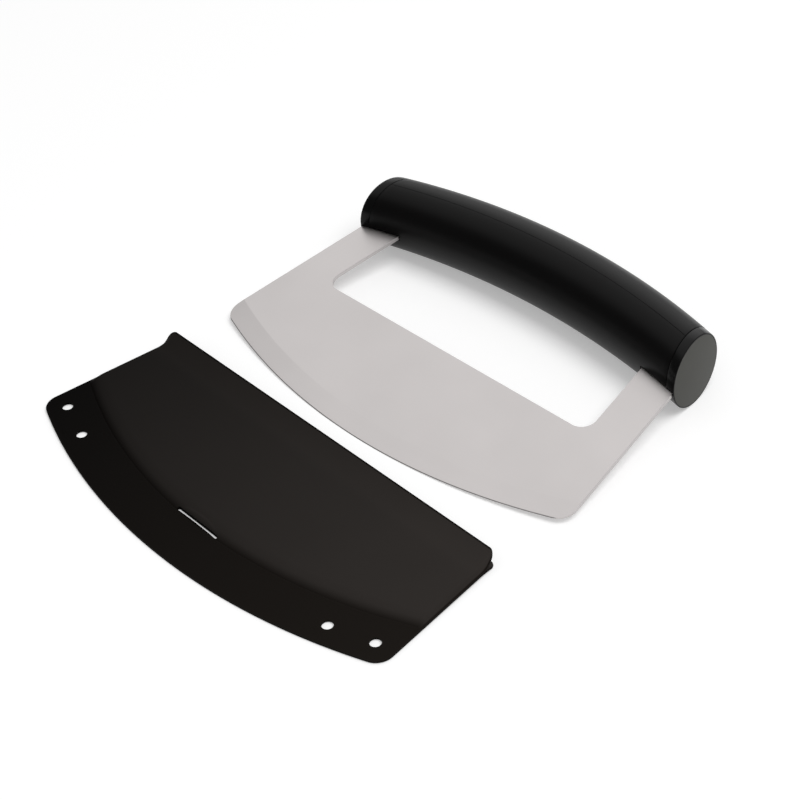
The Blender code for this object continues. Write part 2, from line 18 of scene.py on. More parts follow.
import bmesh
import bpy
from mathutils import Matrix, Vector


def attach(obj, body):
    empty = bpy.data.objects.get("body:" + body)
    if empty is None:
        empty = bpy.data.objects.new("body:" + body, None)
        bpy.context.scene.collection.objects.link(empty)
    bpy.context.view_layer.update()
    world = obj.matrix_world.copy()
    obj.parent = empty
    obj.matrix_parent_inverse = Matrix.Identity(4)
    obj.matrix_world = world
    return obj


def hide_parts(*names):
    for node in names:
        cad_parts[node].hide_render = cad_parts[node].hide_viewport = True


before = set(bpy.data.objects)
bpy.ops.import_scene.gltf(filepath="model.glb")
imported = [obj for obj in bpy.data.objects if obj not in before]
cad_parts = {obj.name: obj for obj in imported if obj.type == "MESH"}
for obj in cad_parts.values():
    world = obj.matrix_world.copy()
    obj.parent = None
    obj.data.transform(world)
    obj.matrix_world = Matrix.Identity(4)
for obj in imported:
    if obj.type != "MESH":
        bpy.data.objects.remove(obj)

LOG = logging.getLogger("mezzaluna")
MM = 0.001
MERGE_DISTANCE = 0.002 * MM
ON_MIDDLE_LINE = 1.0 * MM
WHEEL_FACETS = 1440
DRILL_FACETS = 48
EDGE_STEPS = 72
FILLET_STEPS = 40
LEAST_ROUGHNESS = 0.03
WHITE = (1.0, 1.0, 1.0, 1.0)

Object = bpy.types.Object
Node = bpy.types.Node
Socket = bpy.types.NodeSocket
Tree = bpy.types.NodeTree
Inputs = dict[str | int, object]
Point = tuple[float, float]
Triple = tuple[float, float, float]


class Choice(Enum):
    """A choice among parts whose names the nodes spell in lower case."""

    @property
    def word(self) -> str:
        """The part's name as the nodes spell it."""
        return self.name.lower()


class Side(Choice):
    """Left and right end of the knife, as seen from above with the guard in front."""

    LEFT = -1
    RIGHT = 1

    def place(self, points: Sequence[Point]) -> list[Point]:
        """Points of the right end, brought to this end."""
        return [(self.value * x, y) for x, y in points]


class Half(Choice):
    """The handle's two shells, and on which side of the parting face each one lies."""

    PALM = 1
    BLADE = -1


class Leaf(Choice):
    """The guard's two leaves, and which way each one's outer face looks."""

    UPPER = 1
    LOWER = -1


class Cut(Enum):
    """What a tool does to the piece that it is put into."""

    TAKE = "DIFFERENCE"
    KEEP = "INTERSECT"


@dataclass(frozen=True)
class Pose:
    """Where a sub-assembly lies: a tilt about X, then a turn about Z, then a place."""

    tilt: float
    turn: float
    place: Triple

    def matrix(self) -> Matrix:
        """The pose as a matrix."""
        turn = Matrix.Rotation(self.turn, 4, "Z")
        return Matrix.Translation(self.place) @ turn @ Matrix.Rotation(self.tilt, 4, "X")


@dataclass(frozen=True)
class Ring:
    """One circle of a swept shape: its middle, its lean about Z and its radius."""

    centre: Vector
    lean: float
    radius: float


KNIFE_POSE = Pose(math.asin(0.148337), 0.0, (5.6883 * MM, -18.5925 * MM, 0.1162 * MM))
GUARD_POSE = Pose(math.radians(0.73452), math.radians(-1.67),
                  (1.7383 * MM, -30.8925 * MM, 1.8162 * MM))


# Modelling by hand
def select_only(piece: Object) -> None:
    """Leave one object selected and active.

    Args:
        piece: The object.
    """
    bpy.ops.object.select_all(action="DESELECT")
    piece.select_set(True)
    bpy.context.view_layer.objects.active = piece


def start(name: str, primitive: Callable[..., set[str]], **settings: object) -> Object:
    """Start a piece from a primitive and put its place into its mesh.

    Args:
        name: Name of the object and of its mesh.
        primitive: The operator that adds the primitive.
        **settings: The primitive's size and place.

    Returns:
        The new object.
    """
    bpy.ops.object.select_all(action="DESELECT")
    primitive(**settings)
    piece = bpy.context.object
    piece.name = piece.data.name = name
    bpy.ops.object.transform_apply(location=True, rotation=True, scale=True)
    return piece


@contextmanager
def editing(piece: Object) -> Iterator[None]:
    """Edit one object's mesh, all of it selected at first.

    Doubled corners are merged at the end, and all faces turned outwards.

    Args:
        piece: The object.

    Yields:
        Nothing, while edit mode is on.
    """
    select_only(piece)
    bpy.ops.object.mode_set(mode="EDIT")
    bpy.ops.mesh.select_all(action="SELECT")
    yield
    bpy.ops.mesh.select_all(action="SELECT")
    bpy.ops.mesh.remove_doubles(threshold=MERGE_DISTANCE)
    bpy.ops.mesh.normals_make_consistent(inside=False)
    bpy.ops.object.mode_set(mode="OBJECT")


def sweep(name: str, rings: Sequence[Ring], facets: int, upright: bool = False,
          closed: bool = False) -> Object:
    """Extrude a circle from ring to ring.

    Args:
        name: Name of the piece.
        rings: The circles to pass through, in order.
        facets: Number of sides of each circle.
        upright: True where the circles' axis is Z, and otherwise it is X.
        closed: True where the last ring runs back into the first, as in a tube's wall.

    Returns:
        A closed shape.
    """
    first = rings[0]
    piece = start(name, bpy.ops.mesh.primitive_circle_add, vertices=facets,
                  radius=first.radius, fill_type="NOTHING" if closed else "NGON",
                  location=first.centre,
                  rotation=(0.0, 0.0 if upright else math.pi / 2, first.lean))
    with editing(piece):
        for last, ring in pairwise([*rings, first] if closed else rings):
            bpy.ops.mesh.extrude_region_move(
                TRANSFORM_OT_translate={"value": ring.centre - last.centre})
            if ring.lean != last.lean:
                bpy.ops.transform.rotate(value=last.lean - ring.lean, orient_axis="Z",
                                         center_override=ring.centre)
            if ring.radius != last.radius:
                bpy.ops.transform.resize(value=[ring.radius / last.radius] * 3,
                                         center_override=ring.centre)
    return piece


def plate(name: str, outline: Sequence[Point], low: float, high: float) -> Object:
    """Stretch a disc to an outline and extrude it.

    Args:
        name: Name of the piece.
        outline: Corners, as (x, y), in order round the plate.
        low: Height of the lower face.
        high: Height of the upper face.

    Returns:
        The plate.
    """
    piece = start(name, bpy.ops.mesh.primitive_circle_add, vertices=len(outline), radius=1.0,
                  fill_type="NGON", location=(0.0, 0.0, 0.0))
    for vertex, (x, y) in zip(piece.data.vertices, outline):
        vertex.co = (x, y, low)
    with editing(piece):
        bpy.ops.mesh.extrude_region_move(
            TRANSFORM_OT_translate={"value": (0.0, 0.0, high - low)})
    return piece


def rod(name: str, centre: Triple, diameter: float, length: float,
        facets: int = DRILL_FACETS) -> Object:
    """Add a round rod along Z, as a drill or a wheel."""
    return start(name, bpy.ops.mesh.primitive_cylinder_add, vertices=facets,
                 radius=diameter / 2, depth=length, location=centre)


def modify(piece: Object, kind: str, **settings: object) -> None:
    """Put a modifier on a piece and apply it.

    Args:
        piece: The piece.
        kind: The modifier's type.
        **settings: Its settings.
    """
    select_only(piece)
    modifier = piece.modifiers.new(kind.lower(), kind)
    for key, value in settings.items():
        setattr(modifier, key, value)
    bpy.ops.object.modifier_apply(modifier=modifier.name)


def combine(piece: Object, tool: Object, cut: Cut) -> None:
    """Use a tool on a piece and throw the tool away."""
    modify(piece, "BOOLEAN", operation=cut.value, object=tool)
    bpy.data.objects.remove(tool)


def shade(piece: Object, angle: float) -> None:
    """Shade a piece smooth up to an angle, in degrees."""
    select_only(piece)
    bpy.ops.object.shade_smooth_by_angle(angle=math.radians(angle))


def round_edges(piece: Object, width: float, above: float, smooth: float) -> None:
    """Shade smooth up to an angle and round the edges above another, in degrees."""
    shade(piece, smooth)
    modify(piece, "BEVEL", width=width, segments=2, limit_method="ANGLE",
           angle_limit=math.radians(above), harden_normals=True)


# Outlines
def arc(centre: Point, radius: float, start_angle: float, end_angle: float,
        steps: int) -> list[Point]:
    """Points on an arc from one angle to another, both ends included."""
    return [(centre[0] + radius * math.cos(a), centre[1] + radius * math.sin(a))
            for a in spread(start_angle, end_angle, steps)]


def mirrored(right_half: Sequence[Point]) -> list[Point]:
    """Close an outline by adding the mirror image of its right half."""
    return [*right_half, *[(-x, y) for x, y in reversed(right_half) if x > ON_MIDDLE_LINE]]


def spread(low: float, high: float, spans: int) -> list[float]:
    """Evenly spaced places from low to high."""
    return [low + (high - low) * step / spans for step in range(spans + 1)]


def rounded_bottom(low: float, radius: float, half_width: float, lean: float,
                   corner: float) -> list[Point]:
    """Right half of a convex lower edge with the fillet at its corner.

    Args:
        low: Height of the lowest point, on the middle line.
        radius: Radius of the lower edge.
        half_width: Distance of the side from the middle line at Y 0.
        lean: Angle by which the side comes in as Y rises.
        corner: Radius of the fillet.

    Returns:
        Points from the middle to the side.
    """
    centre = (0.0, low + radius)
    across = half_width * math.cos(lean) - corner
    offset = across - centre[1] * math.sin(lean)
    along = centre[1] * math.cos(lean) - math.sqrt((radius - corner) ** 2 - offset ** 2)
    fillet = (across * math.cos(lean) - along * math.sin(lean),
              across * math.sin(lean) + along * math.cos(lean))
    meeting = math.atan2(fillet[1] - centre[1], fillet[0] - centre[0])
    return [*arc(centre, radius, -math.pi / 2, meeting, EDGE_STEPS),
            *arc(fillet, corner, meeting, lean, FILLET_STEPS)[1:]]


# Finishes
class Wiring:
    """Short ways to add nodes to one node tree, with the coordinates that its patterns follow."""

    def __init__(self, tree: Tree, vector: Socket | None = None) -> None:
        """Work on a node tree."""
        self.tree = tree
        self.vector = vector

    def fill(self, node: Node, inputs: Inputs) -> None:
        """Link inputs of a node to outputs, or set them to values.

        Args:
            node: The node.
            inputs: An output or a value for each input, by its name or number.
        """
        for label, value in inputs.items():
            if isinstance(value, Socket):
                self.tree.links.new(value, node.inputs[label])
            else:
                node.inputs[label].default_value = value

    def add(self, kind: str, inputs: Inputs | None = None, **settings: object) -> Node:
        """Add a node.

        Args:
            kind: The node's type without its ShaderNode prefix.
            inputs: What its inputs are filled with.
            **settings: Properties to set first.

        Returns:
            The node.
        """
        node = self.tree.nodes.new("ShaderNode" + kind)
        for key, value in settings.items():
            setattr(node, key, value)
        self.fill(node, inputs or {})
        return node

    def maths(self, operation: str, *values: Socket | float) -> Socket:
        """The result of a Math node."""
        return self.add("Math", dict(enumerate(values)), operation=operation).outputs[0]

    def remap(self, value: Socket, low: float, high: float, to_low: Socket | float = 0.0,
              to_high: Socket | float = 1.0, smooth: bool = False) -> Socket:
        """Map a range of values to another one and clamp it."""
        kind = "SMOOTHSTEP" if smooth else "LINEAR"
        return self.add("MapRange", {"Value": value, "From Min": low, "From Max": high,
                                     "To Min": to_low, "To Max": to_high},
                        interpolation_type=kind).outputs[0]

    def mix(self, amount: Socket, first: object, second: object) -> Socket:
        """Go from a first colour to a second one by an amount."""
        return self.add("MixRGB", {"Fac": amount, "Color1": first,
                                   "Color2": second}).outputs[0]

    def scaled(self, vector: object, factor: Socket) -> Socket:
        """A vector or a colour times a factor."""
        return self.add("VectorMath", {"Vector": vector, "Scale": factor},
                        operation="SCALE").outputs[0]

    def noise(self, scale: Socket | float, detail: float = 2.0) -> Socket:
        """A Noise texture's value."""
        return self.add("TexNoise", {"Vector": self.vector, "Scale": scale,
                                     "Detail": detail}).outputs["Fac"]

    def plan(self) -> tuple[Socket, Socket]:
        """X and Y of the coordinates."""
        axes = self.add("SeparateXYZ", {"Vector": self.vector}).outputs
        return axes["X"], axes["Y"]

    def from_axis(self, centre: float) -> Socket:
        """Distance in plan from a point on the Y axis."""
        x, y = self.plan()
        return self.maths("SQRT", self.maths("ADD", *[
            self.maths("MULTIPLY", leg, leg) for leg in (x, self.maths("SUBTRACT", y, centre))]))

    def place(self, pose: Pose, stretch: Triple = (1.0, 1.0, 1.0)) -> Socket:
        """Object coordinates, brought into a sub-assembly's own frame and stretched."""
        moved = self.add("Mapping", {"Vector": self.add("TexCoord").outputs["Object"],
                                     "Location": pose.place,
                                     "Rotation": (pose.tilt, 0.0, pose.turn)},
                         vector_type="TEXTURE").outputs[0]
        return self.add("VectorMath", {0: moved, 1: stretch}, operation="MULTIPLY").outputs[0]


def new_group(name: str, inputs: dict[str, float], output: str, kind: str) -> Wiring:
    """Make a shader group with a vector input, numbers to set and one output.

    Args:
        name: Name of the group.
        inputs: Names and defaults of its numbers.
        output: Name of its output.
        kind: Socket type of its output.

    Returns:
        The group's nodes, which follow its vector input.
    """
    group = bpy.data.node_groups.new(name, "ShaderNodeTree")
    sockets = group.interface
    for label, value in inputs.items():
        sockets.new_socket(label, in_out="INPUT",
                           socket_type="NodeSocketFloat").default_value = value
    sockets.new_socket("Vector", in_out="INPUT",
                       socket_type="NodeSocketVector").hide_value = True
    sockets.new_socket(output, in_out="OUTPUT", socket_type=kind)
    group.nodes.new("NodeGroupInput").name = "in"
    group.nodes.new("NodeGroupOutput").name = "out"
    return Wiring(group, group.nodes["in"].outputs["Vector"])


@cache
def handling_group() -> Tree:
    """Build the group for uneven gloss: broad soft patches and faint rubbed marks.

    Returns:
        A group whose value lies around zero.
    """
    wire = new_group("handling", {"Patch Scale": 40.0, "Patch Amount": 0.05,
                                  "Speck Scale": 900.0, "Speck Amount": 0.03},
                     "Change", "NodeSocketFloat")
    given = wire.tree.nodes["in"].outputs
    changes = []
    for name in ("Patch", "Speck"):
        centred = wire.maths("SUBTRACT", wire.noise(given[f"{name} Scale"], detail=3.0), 0.5)
        changes.append(wire.maths("MULTIPLY", centred, given[f"{name} Amount"]))
    wire.fill(wire.tree.nodes["out"], {"Change": wire.maths("ADD", *changes)})
    return wire.tree


@cache
def grain_group() -> Tree:
    """Build the group for a moulded or ground skin: a fine grain and slow waviness.

    Returns:
        A group that gives a normal.
    """
    wire = new_group("grain", {"Grain Scale": 2500.0, "Grain Depth": 0.01 * MM,
                               "Wave Scale": 30.0, "Wave Depth": 0.02 * MM},
                     "Normal", "NodeSocketVector")
    given = wire.tree.nodes["in"].outputs
    heights = [wire.maths("MULTIPLY", wire.noise(given[f"{name} Scale"], detail),
                          given[f"{name} Depth"])
               for name, detail in (("Grain", 2.0), ("Wave", 1.0))]
    bump = wire.add("Bump", {"Strength": 1.0, "Distance": 1.0,
                             "Height": wire.maths("ADD", *heights)})
    wire.fill(wire.tree.nodes["out"], {"Normal": bump.outputs[0]})
    return wire.tree


@dataclass(frozen=True)
class Finish:
    """A surface finish, made into one material.

    Colours are linear red, green and blue. Depths are in metres and scales are per metre.
    """

    name: str
    slot: str
    pose: Pose
    colour: Triple
    roughness: float
    metallic: float = 0.0
    specular: float = 0.5
    patch: float = 0.05
    speck: float = 0.03
    grain: float = 2500.0
    grain_depth: float = 0.004 * MM
    wave_depth: float = 0.0
    stretch: Triple = (1.0, 1.0, 1.0)
    tint_scale: float = 25.0
    tint_range: Point = (0.94, 1.06)

    def tint(self, wire: Wiring) -> Socket:
        """Vary the colour slightly over the surface."""
        ends = [(*[share * c for c in self.colour], 1.0) for share in self.tint_range]
        return wire.mix(wire.noise(self.tint_scale), *ends)

    def gloss(self, wire: Wiring) -> Socket | float:
        """Roughness over the surface; here the same everywhere."""
        return self.roughness

    def build(self) -> bpy.types.Material:
        """Make the material.

        Returns:
            The material.
        """
        material = bpy.data.materials.new(self.name)
        material.use_nodes = True
        wire = Wiring(material.node_tree)
        wire.vector = wire.place(self.pose)
        drawn = wire.place(self.pose, self.stretch)
        handling = wire.add("Group", {"Vector": drawn, "Patch Amount": self.patch,
                                      "Speck Amount": self.speck},
                            node_tree=handling_group())
        grain = wire.add("Group", {"Vector": drawn, "Grain Scale": self.grain,
                                   "Grain Depth": self.grain_depth,
                                   "Wave Depth": self.wave_depth},
                         node_tree=grain_group())
        rough = wire.maths("ADD", handling.outputs["Change"], self.gloss(wire))
        shader = wire.tree.nodes["Principled BSDF"]
        shader.inputs["Base Color"].default_value = (*self.colour, 1.0)
        wire.fill(shader, {"Base Color": self.tint(wire), "Metallic": self.metallic,
                           "Specular IOR Level": self.specular,
                           "Roughness": wire.maths("MAXIMUM", rough, LEAST_ROUGHNESS),
                           "Normal": grain.outputs["Normal"]})
        return material


@dataclass(frozen=True)
class GroundFinish(Finish):
    """The blade's steel, with a finer finish on the ground bevel, which is darker towards its
    left end.
    """

    centre: float = 290.0 * MM
    radius: float = 280.4 * MM
    blend: float = 0.2 * MM
    bevel_roughness: float = 0.3
    dark_end: float = 0.87
    darken_from: float = -105.0 * MM
    darken_to: float = -15.0 * MM

    def bevel(self, wire: Wiring) -> Socket:
        """1 on the ground bevel and 0 on the flat face."""
        return wire.remap(wire.from_axis(self.centre), self.radius - self.blend,
                          self.radius + self.blend)

    def tint(self, wire: Wiring) -> Socket:
        """Darken the bevel a little towards its left end."""
        darkening = wire.remap(wire.plan()[0], self.darken_from, self.darken_to, self.dark_end, 1.0)
        return wire.scaled(super().tint(wire),
                           wire.remap(self.bevel(wire), 0.0, 1.0, 1.0, darkening))

    def gloss(self, wire: Wiring) -> Socket | float:
        """Roughness of the flat face and of the bevel."""
        return wire.remap(self.bevel(wire), 0.0, 1.0, self.roughness, self.bevel_roughness)


@dataclass(frozen=True)
class PaintedSheenFinish(Finish):
    """A pressed sheet's finish: deep black on the flat band, grey in the raised pocket.

    Painted sheen makes the band and the pocket lighter towards one end of the sheet, and
    painted light makes the pocket lighter at its lip.
    """

    # The first colour is the pocket's grey; the second is painted sheen at the band's lighter
    # end.
    pocket_grey: Triple = (0.018, 0.0157, 0.0143)
    band_sheen: Triple = (0.0105, 0.0085, 0.0070)
    centre: float = 179.5 * MM
    radius: float = 245.5 * MM
    foot_outside: float = 1.0 * MM
    foot_inside: float = 4.0 * MM
    reach: float = 105.0 * MM
    # These ends scale the pocket's grey with painted sheen, lighter towards +X.
    dim_end: float = 0.47
    bright_end: float = 1.7
    # Painted light: the pocket is made lighter over the tilted lip, from here to the mouth.
    painted_lip_start: float = -16.0 * MM
    lip: float = 0.35
    half_width: float = 100.04 * MM
    lean: float = math.radians(6.65)
    cut_edge: float = 0.35 * MM
    edge_blend: float = 0.4 * MM
    cloud_scale: float = 22.0
    cloud_range: float = 0.16
    cloud_low: float = 0.92

    def pocket(self, wire: Wiring) -> Socket:
        """Mark the pocket.

        Args:
            wire: The material's nodes.

        Returns:
            1 in the pocket and 0 on the flat band and on the cut edges.
        """
        x, y = wire.plan()
        pocket = wire.remap(wire.from_axis(self.centre), self.radius + self.foot_outside,
                            self.radius - self.foot_inside, smooth=True)
        side = wire.maths("ADD", wire.maths("ABSOLUTE", x),
                          wire.maths("MULTIPLY", y, math.tan(self.lean)))
        inside = wire.maths("MINIMUM",
                            wire.maths("SUBTRACT", self.half_width - self.cut_edge, side),
                            wire.maths("SUBTRACT", -self.cut_edge, y))
        return wire.maths("MULTIPLY", pocket, wire.remap(inside, 0.0, self.edge_blend))

    def painted_pocket_light(self, wire: Wiring) -> Socket:
        """Tell how much painted sheen and painted light lighten the pocket.

        Args:
            wire: The material's nodes.

        Returns:
            A factor, more at the lip and to the right, and cloudy.
        """
        x, y = wire.plan()
        # Painted sheen: lighter towards the +X end of the sheet.
        along = wire.remap(x, -self.reach, self.reach, self.dim_end, self.bright_end)
        # Painted light: the tilted lip made lighter, towards the mouth.
        lip = wire.remap(y, self.painted_lip_start, 0.0, 0.0, self.lip, smooth=True)
        clouds = wire.maths("MULTIPLY", wire.noise(self.cloud_scale), self.cloud_range)
        return wire.maths("MULTIPLY", wire.maths("ADD", along, lip),
                          wire.maths("ADD", clouds, self.cloud_low))

    def tint(self, wire: Wiring) -> Socket:
        """Go from the band's black to the pocket's grey at the shoulder's foot; both carry
        painted sheen.
        """
        # The band's painted sheen, lighter towards the +X end.
        band = wire.mix(wire.remap(wire.plan()[0], -self.reach, self.reach),
                        (*self.colour, 1.0), (*self.band_sheen, 1.0))
        return wire.mix(self.pocket(wire), band, wire.scaled(self.pocket_grey, self.painted_pocket_light(wire)))


BLADE_STEEL = GroundFinish("satin ground steel", "blade_steel", KNIFE_POSE,
                           (0.525, 0.5, 0.495), 0.34, metallic=1.0, speck=0.06, grain=1800.0,
                           grain_depth=0.0006 * MM, stretch=(0.04, 1.0, 1.0))
PIN_STEEL = Finish("drawn steel", "pin_steel", KNIFE_POSE, (0.55, 0.54, 0.53), 0.3,
                   metallic=1.0, stretch=(1.0, 1.0, 0.05))
HANDLE_BLACK = Finish("satin black plastic", "handle_black", KNIFE_POSE,
                      (0.003, 0.0028, 0.0028), 0.34, specular=0.11, patch=0.06, speck=0.02,
                      grain=3000.0, grain_depth=0.002 * MM, wave_depth=0.01 * MM)
CAP_BLACK = Finish("polished black plastic", "cap_black", KNIFE_POSE,
                   (0.0035, 0.0035, 0.0035), 0.22, specular=0.14, patch=0.03, speck=0.02,
                   grain_depth=0.0)
DISC_GREY = Finish("matt black plastic", "disc_grey", KNIFE_POSE, (0.066, 0.066, 0.059), 0.6,
                   specular=0.4, grain=4000.0)
# Black plastic with painted sheen along the sheet and painted light at the pocket's lip.
GUARD_BLACK = PaintedSheenFinish("pressed black plastic", "guard_black", GUARD_POSE,
                           (0.0006, 0.0003, 0.0001), 0.5, specular=0.02, speck=0.02,
                           wave_depth=0.02 * MM)


def settle(piece: Object, body: str, node: str, finish: Finish) -> None:
    """Lay a piece down, put its place in its mesh and let it stand for its node.

    Args:
        piece: The finished piece, in its sub-assembly's frame.
        body: The body that it rides on.
        node: The node that it replaces.
        finish: Its surface finish.
    """
    piece.matrix_world = finish.pose.matrix()
    select_only(piece)
    bpy.ops.object.transform_apply(location=True, rotation=True, scale=True)
    material = bpy.data.materials.get(finish.name) or finish.build()
    piece.data.materials.clear()
    piece.data.materials.append(material)
    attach(piece, body)
    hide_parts(node)
    LOG.info("%s stands for %s with %d faces", piece.name, node, len(piece.data.polygons))


# The knife
@dataclass(frozen=True)
class Arch:
    """The curve that the handle follows, and its round section along it."""

    arch_radius: float = 374.0 * MM
    arch_height: float = 120.2 * MM
    half_length: float = 89.996 * MM
    middle_radius: float = 16.5 * MM
    end_radius: float = 16.2 * MM
    end_lean: float = math.radians(6.8)

    def axis_height(self, x: float) -> float:
        """Height of the axis above the cutting edge, at a place along the blade."""
        return self.arch_height - self.arch_radius + math.sqrt(self.arch_radius ** 2 - x ** 2)

    def lean(self, x: float) -> float:
        """Lean of the round section."""
        return self.end_lean * x / self.half_length

    def radius(self, x: float) -> float:
        """Radius of the handle, a little slimmer towards its ends."""
        slimming = self.middle_radius - self.end_radius
        return self.middle_radius - slimming * (x / self.half_length) ** 2

    def ring(self, x: float, inset: float) -> Ring:
        """One circle of the handle, set in from its surface."""
        centre = Vector((x, self.axis_height(x), 0.0))
        return Ring(centre, self.lean(x), self.radius(x) - inset)

    def underside(self, x: float) -> float:
        """Find the handle's underside in the blade's plane.

        Args:
            x: Place along the blade.

        Returns:
            Its height above the cutting edge.
        """
        along = x
        for _ in range(4):
            along = x - self.radius(along) * math.sin(self.lean(along))
        return self.axis_height(along) - self.radius(along) * math.cos(self.lean(along))


@dataclass(frozen=True)
class Blade:
    """The sheet steel blade: a curved edge ground on both faces, two arms and their tangs."""

    arch: Arch = Arch()
    thickness: float = 1.8 * MM
    edge_radius: float = 290.0 * MM
    half_width: float = 104.1 * MM
    lean: float = math.radians(7.9)
    corner_radius: float = 8.0 * MM
    bevel_height: float = 9.6 * MM
    honed_height: float = 0.34 * MM
    honed_thickness: float = 0.48 * MM
    edge_thickness: float = 0.06 * MM
    wheel_overlap: float = 0.02 * MM
    wheel_overhang: float = 0.6 * MM
    window_sill: float = 57.0 * MM
    window_corner: float = 6.5 * MM
    window_steps: int = 36
    arm_width: float = 19.0 * MM
    seat: float = 0.2 * MM
    tang_step: float = 4.0 * MM
    tang_above_axis: float = 6.0 * MM
    tang_corner: float = 2.0 * MM
    pin_hole: float = 3.6 * MM
    pin_edge_distance: float = 3.9 * MM

    def side(self, y: float) -> float:
        """Distance of the side edge from the middle, at a height above the cutting edge."""
        return self.half_width - y * math.tan(self.lean)

    def inner(self, y: float) -> float:
        """Inner edge of an arm and of its tang."""
        return self.side(y) - self.arm_width

    def tang_outer(self, y: float) -> float:
        """Outer edge of a tang."""
        return self.side(y) - self.tang_step

    @property
    def tang_level(self) -> float:
        """Height of the handle's axis where the tangs' outer edges cross it."""
        return self.arch.axis_height(self.tang_outer(self.arch.arch_height))

    def shoulder(self) -> tuple[Point, Point]:
        """Find the right arm's shoulder, sunk in the end cap.

        Returns:
            The shoulder's outer and inner point.
        """
        outer = self.side(self.arch.underside(self.arch.half_length))
        inner = outer - self.tang_step
        high, higher = (self.arch.underside(x) + self.seat for x in (outer, inner))
        return (self.side(high), high), (self.tang_outer(higher), higher)

    def pins(self) -> list[Point]:
        """Places of the right tang's two pin holes."""
        inner, outer = self.inner(self.tang_level), self.tang_outer(self.tang_level)
        return [(x, self.arch.axis_height(x)) for x in (inner + self.pin_edge_distance,
                                                        outer - self.pin_edge_distance)]

    def outline(self) -> list[Point]:
        """Draw the sheet: cutting edge, sides, tangs and the window between the arms.

        Returns:
            The outline.
        """
        bottom = rounded_bottom(0.0, self.edge_radius, self.half_width, self.lean,
                                self.corner_radius)
        top = self.tang_level + self.tang_above_axis
        cut = self.tang_corner
        tang = [*self.shoulder(), (self.tang_outer(top - cut), top - cut),
                (self.tang_outer(top) - cut, top), (self.inner(top) + cut, top),
                (self.inner(top - cut), top - cut)]
        level = self.window_sill + self.window_corner
        corner = (self.inner(level) - self.window_corner / math.cos(self.lean), level)
        window = arc(corner, self.window_corner, self.lean, -math.pi / 2, self.window_steps)
        return mirrored(bottom + tang + window)

    def grinding_wheel(self) -> Object:
        """Sweep the double cone that the ground faces lie on.

        Returns:
            The wheel.
        """
        half, honed, over = self.thickness / 2, self.honed_thickness / 2, self.wheel_overhang
        run = (self.bevel_height - self.honed_height) / (half - honed)
        rim = self.edge_radius + self.wheel_overlap
        upper = [(self.edge_thickness / 2, rim), (honed, rim - self.honed_height),
                 (half + over, rim - self.bevel_height - run * over)]
        profile = [(-z, radius) for z, radius in reversed(upper)] + upper
        rings = [Ring(Vector((0.0, self.edge_radius, z)), 0.0, radius) for z, radius in profile]
        return sweep("grinding wheel", rings, WHEEL_FACETS, upright=True)

    def model(self) -> Object:
        """Cut, grind and drill the sheet.

        Returns:
            The blade.
        """
        half = self.thickness / 2
        blade = plate("blade_sheet", self.outline(), -half, half)
        round_edges(blade, width=0.1 * MM, above=60.0, smooth=10.0)
        combine(blade, self.grinding_wheel(), Cut.KEEP)
        for side in Side:
            for x, y in side.place(self.pins()):
                drill = rod("drill", (x, y, 0.0), self.pin_hole, 4 * self.thickness)
                combine(blade, drill, Cut.TAKE)
        shade(blade, angle=2.4)
        return blade

    def build(self) -> None:
        """Build and dress the blade, and dress its pins, which keep the frame's own solids."""
        settle(self.model(), "knife", "blade", BLADE_STEEL)
        pin_steel = PIN_STEEL.build()
        for name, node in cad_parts.items():
            if name.endswith("_tang_pin"):
                for slot in node.material_slots:
                    slot.material = pin_steel
                LOG.info("%s keeps its solid", name)


